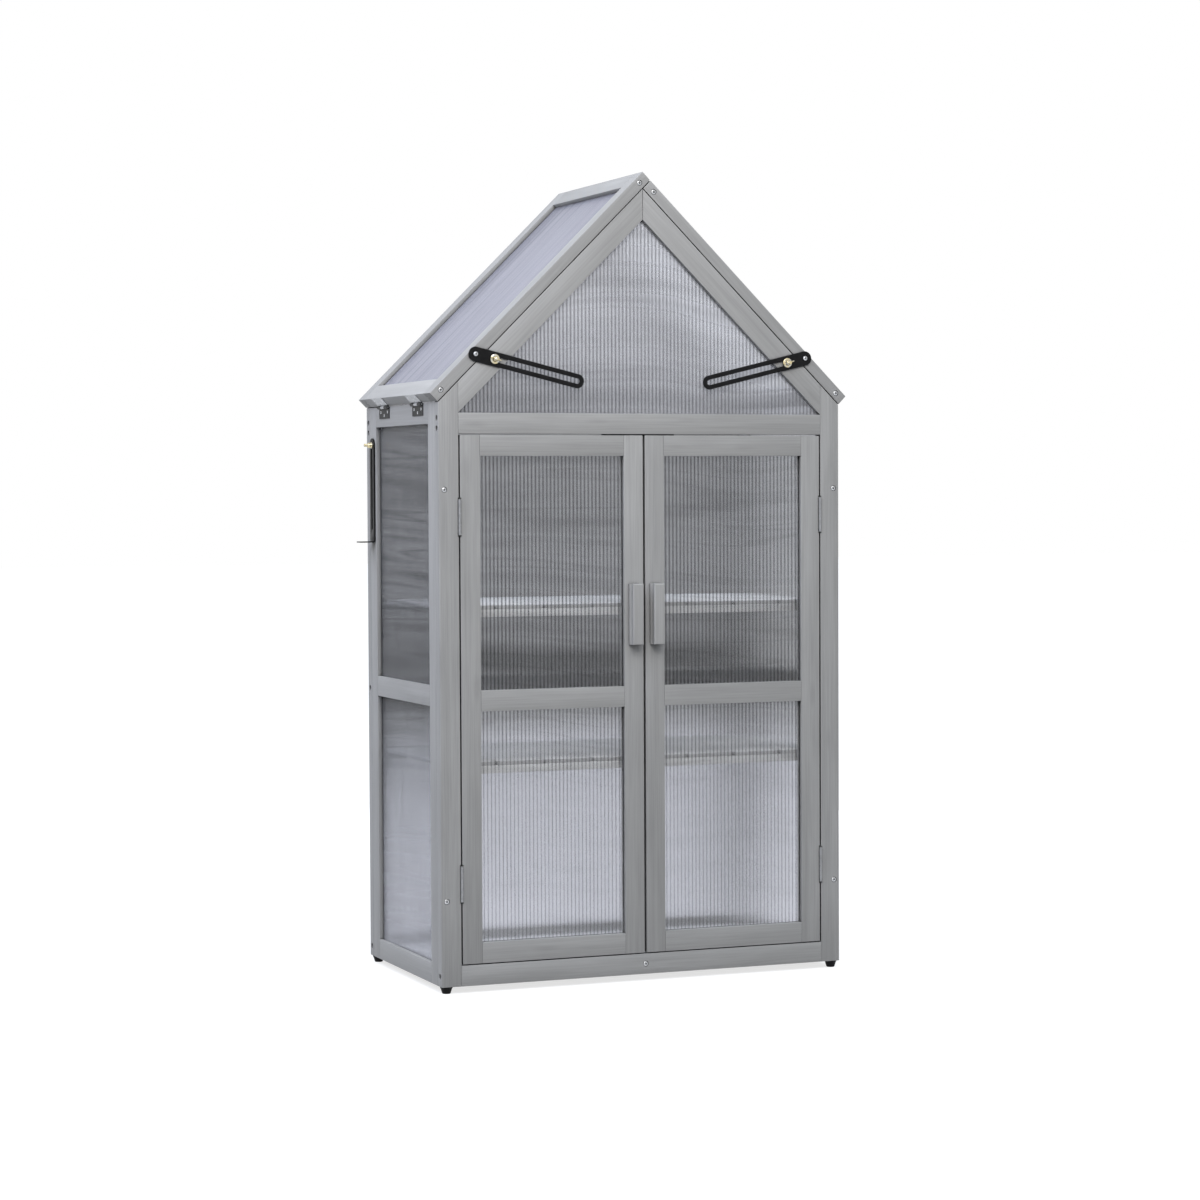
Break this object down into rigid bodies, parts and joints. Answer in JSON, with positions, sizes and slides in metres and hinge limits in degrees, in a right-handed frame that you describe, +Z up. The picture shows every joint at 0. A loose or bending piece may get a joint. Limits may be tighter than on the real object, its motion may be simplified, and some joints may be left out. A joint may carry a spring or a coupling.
{
  "type": "mini greenhouse",
  "caption": "Narrow timber greenhouse cabinet with fluted panes, inset front doors, slatted shelves, a hinged gable roof on slotted stays and wall brackets.",
  "frame": {"origin": "on the ground, in the middle of the whole footprint, handles included", "axes": "+Z up, +X to the right seen from the front, +Y from the front to the back"},
  "size_m": [0.8176, 0.43, 1.4229],
  "materials": {
    "grey_timber": "grey stained timber, satin",
    "shelf_timber": "grey stained slats, satin",
    "twin_wall_sheet": "clear fluted twin-wall sheet",
    "black_steel": "black painted strip",
    "zinc_steel": "bright zinc plate",
    "yellow_zinc": "yellow zinc plate",
    "black_plastic": "black moulded plastic",
    "catch_plastic": "dark moulded plastic"
  },
  "bodies": {
    "carcass": {"back_gable_pane": "twin_wall_sheet", "back_gable_rafters": "grey_timber", "back_panes": "twin_wall_sheet", "back_posts": "grey_timber", "back_rails": "grey_timber", "door_hinge_post_leaves": "zinc_steel", "feet": "black_plastic", "floor_slats": "shelf_timber", "front_gable_pane": "twin_wall_sheet", "front_gable_rafters": "grey_timber", "front_posts": "grey_timber", "front_rails": "grey_timber", "hinge_pins": "zinc_steel", "left_side_panes": "twin_wall_sheet", "left_side_rails": "grey_timber", "left_side_stiles": "grey_timber", "lower_shelf_slats": "shelf_timber", "magnet_catch": "catch_plastic", "right_side_panes": "twin_wall_sheet", "right_side_rails": "grey_timber", "right_side_stiles": "grey_timber", "roof_hinge_wall_leaves": "black_steel", "shelf_bearers": "shelf_timber", "shelf_cleats": "shelf_timber", "upper_shelf_slats": "shelf_timber"},
    "left_door": {"left_door_stiles": "grey_timber", "left_door_rails": "grey_timber", "left_door_panes": "twin_wall_sheet", "left_door_handle": "grey_timber", "left_door_hinge_leaves": "zinc_steel", "left_door_strike_plate": "zinc_steel"},
    "left_roof": {"left_roof_rafters": "grey_timber", "left_roof_rails": "grey_timber", "left_roof_pane": "twin_wall_sheet", "left_roof_hinge_leaves": "black_steel", "left_stay_pivot_screw": "zinc_steel"},
    "left_stay": {"left_stay_arm": "black_steel"},
    "left_stay_clamp": {"left_stay_bolt": "yellow_zinc", "left_stay_wing_nut": "yellow_zinc"},
    "left_bracket_clamp": {"left_bracket_bolt": "yellow_zinc", "left_bracket_wing_nut": "yellow_zinc"},
    "left_bracket": {"left_wall_bracket": "black_steel"},
    "right_door": {"right_door_stiles": "grey_timber", "right_door_rails": "grey_timber", "right_door_panes": "twin_wall_sheet", "right_door_handle": "grey_timber", "right_door_hinge_leaves": "zinc_steel", "right_door_strike_plate": "zinc_steel"},
    "right_roof": {"right_roof_rafters": "grey_timber", "right_roof_rails": "grey_timber", "right_roof_pane": "twin_wall_sheet", "right_roof_hinge_leaves": "black_steel", "right_stay_pivot_screw": "zinc_steel"},
    "right_stay": {"right_stay_arm": "black_steel"},
    "right_stay_clamp": {"right_stay_bolt": "yellow_zinc", "right_stay_wing_nut": "yellow_zinc"},
    "right_bracket_clamp": {"right_bracket_bolt": "yellow_zinc", "right_bracket_wing_nut": "yellow_zinc"},
    "right_bracket": {"right_wall_bracket": "black_steel"}
  },
  "joints": [
    {"name": "left_door_hinge", "type": "hinge", "parent": "carcass", "child": "left_door", "pos_m": [-0.3427, -0.194, 0.506], "axis": [0, 0, -1], "range_deg": [0, 170]},
    {"name": "left_roof_hinge", "type": "hinge", "parent": "carcass", "child": "left_roof", "pos_m": [-0.38305, 0.011, 1.01675], "axis": [0, -1, 0], "range_deg": [0, 92]},
    {"name": "left_stay_pivot", "type": "hinge", "parent": "left_roof", "child": "left_stay", "pos_m": [-0.3126, -0.1938, 1.10062], "axis": [0, 1, 0], "range_deg": [0, 76.6]},
    {"name": "left_stay_slide", "type": "slide", "parent": "left_stay", "child": "left_stay_clamp", "axis": [0.9723, 0, -0.2338], "range_m": [0, 0.15619]},
    {"name": "left_bracket_swing", "type": "hinge", "parent": "carcass", "child": "left_bracket_clamp", "pos_m": [-0.3808, 0.177, 0.95], "axis": [1, 0, 0], "range_deg": [-90, 90]},
    {"name": "left_bracket_slide", "type": "slide", "parent": "left_bracket_clamp", "child": "left_bracket", "axis": [0, 0, 1], "range_m": [0, 0.045]},
    {"name": "right_door_hinge", "type": "hinge", "parent": "carcass", "child": "right_door", "pos_m": [0.3427, -0.194, 0.506], "axis": [0, 0, 1], "range_deg": [0, 170]},
    {"name": "right_roof_hinge", "type": "hinge", "parent": "carcass", "child": "right_roof", "pos_m": [0.38305, 0.011, 1.01675], "axis": [0, 1, 0], "range_deg": [0, 92]},
    {"name": "right_stay_pivot", "type": "hinge", "parent": "right_roof", "child": "right_stay", "pos_m": [0.3126, -0.1938, 1.10062], "axis": [0, -1, 0], "range_deg": [0, 76.6]},
    {"name": "right_stay_slide", "type": "slide", "parent": "right_stay", "child": "right_stay_clamp", "axis": [-0.9723, 0, -0.2338], "range_m": [0, 0.15619]},
    {"name": "right_bracket_swing", "type": "hinge", "parent": "carcass", "child": "right_bracket_clamp", "pos_m": [0.3808, 0.177, 0.95], "axis": [1, 0, 0], "range_deg": [-90, 90]},
    {"name": "right_bracket_slide", "type": "slide", "parent": "right_bracket_clamp", "child": "right_bracket", "axis": [0, 0, 1], "range_m": [0, 0.045]}
  ],
  "couplings": [
    {"joint": "left_stay_pivot", "follows": "left_roof_hinge", "ratio": 0.82715},
    {"joint": "left_stay_slide", "follows": "left_roof_hinge", "m_per_rad": 0.097088},
    {"joint": "right_stay_pivot", "follows": "right_roof_hinge", "ratio": 0.82715},
    {"joint": "right_stay_slide", "follows": "right_roof_hinge", "m_per_rad": 0.097088}
  ]
}
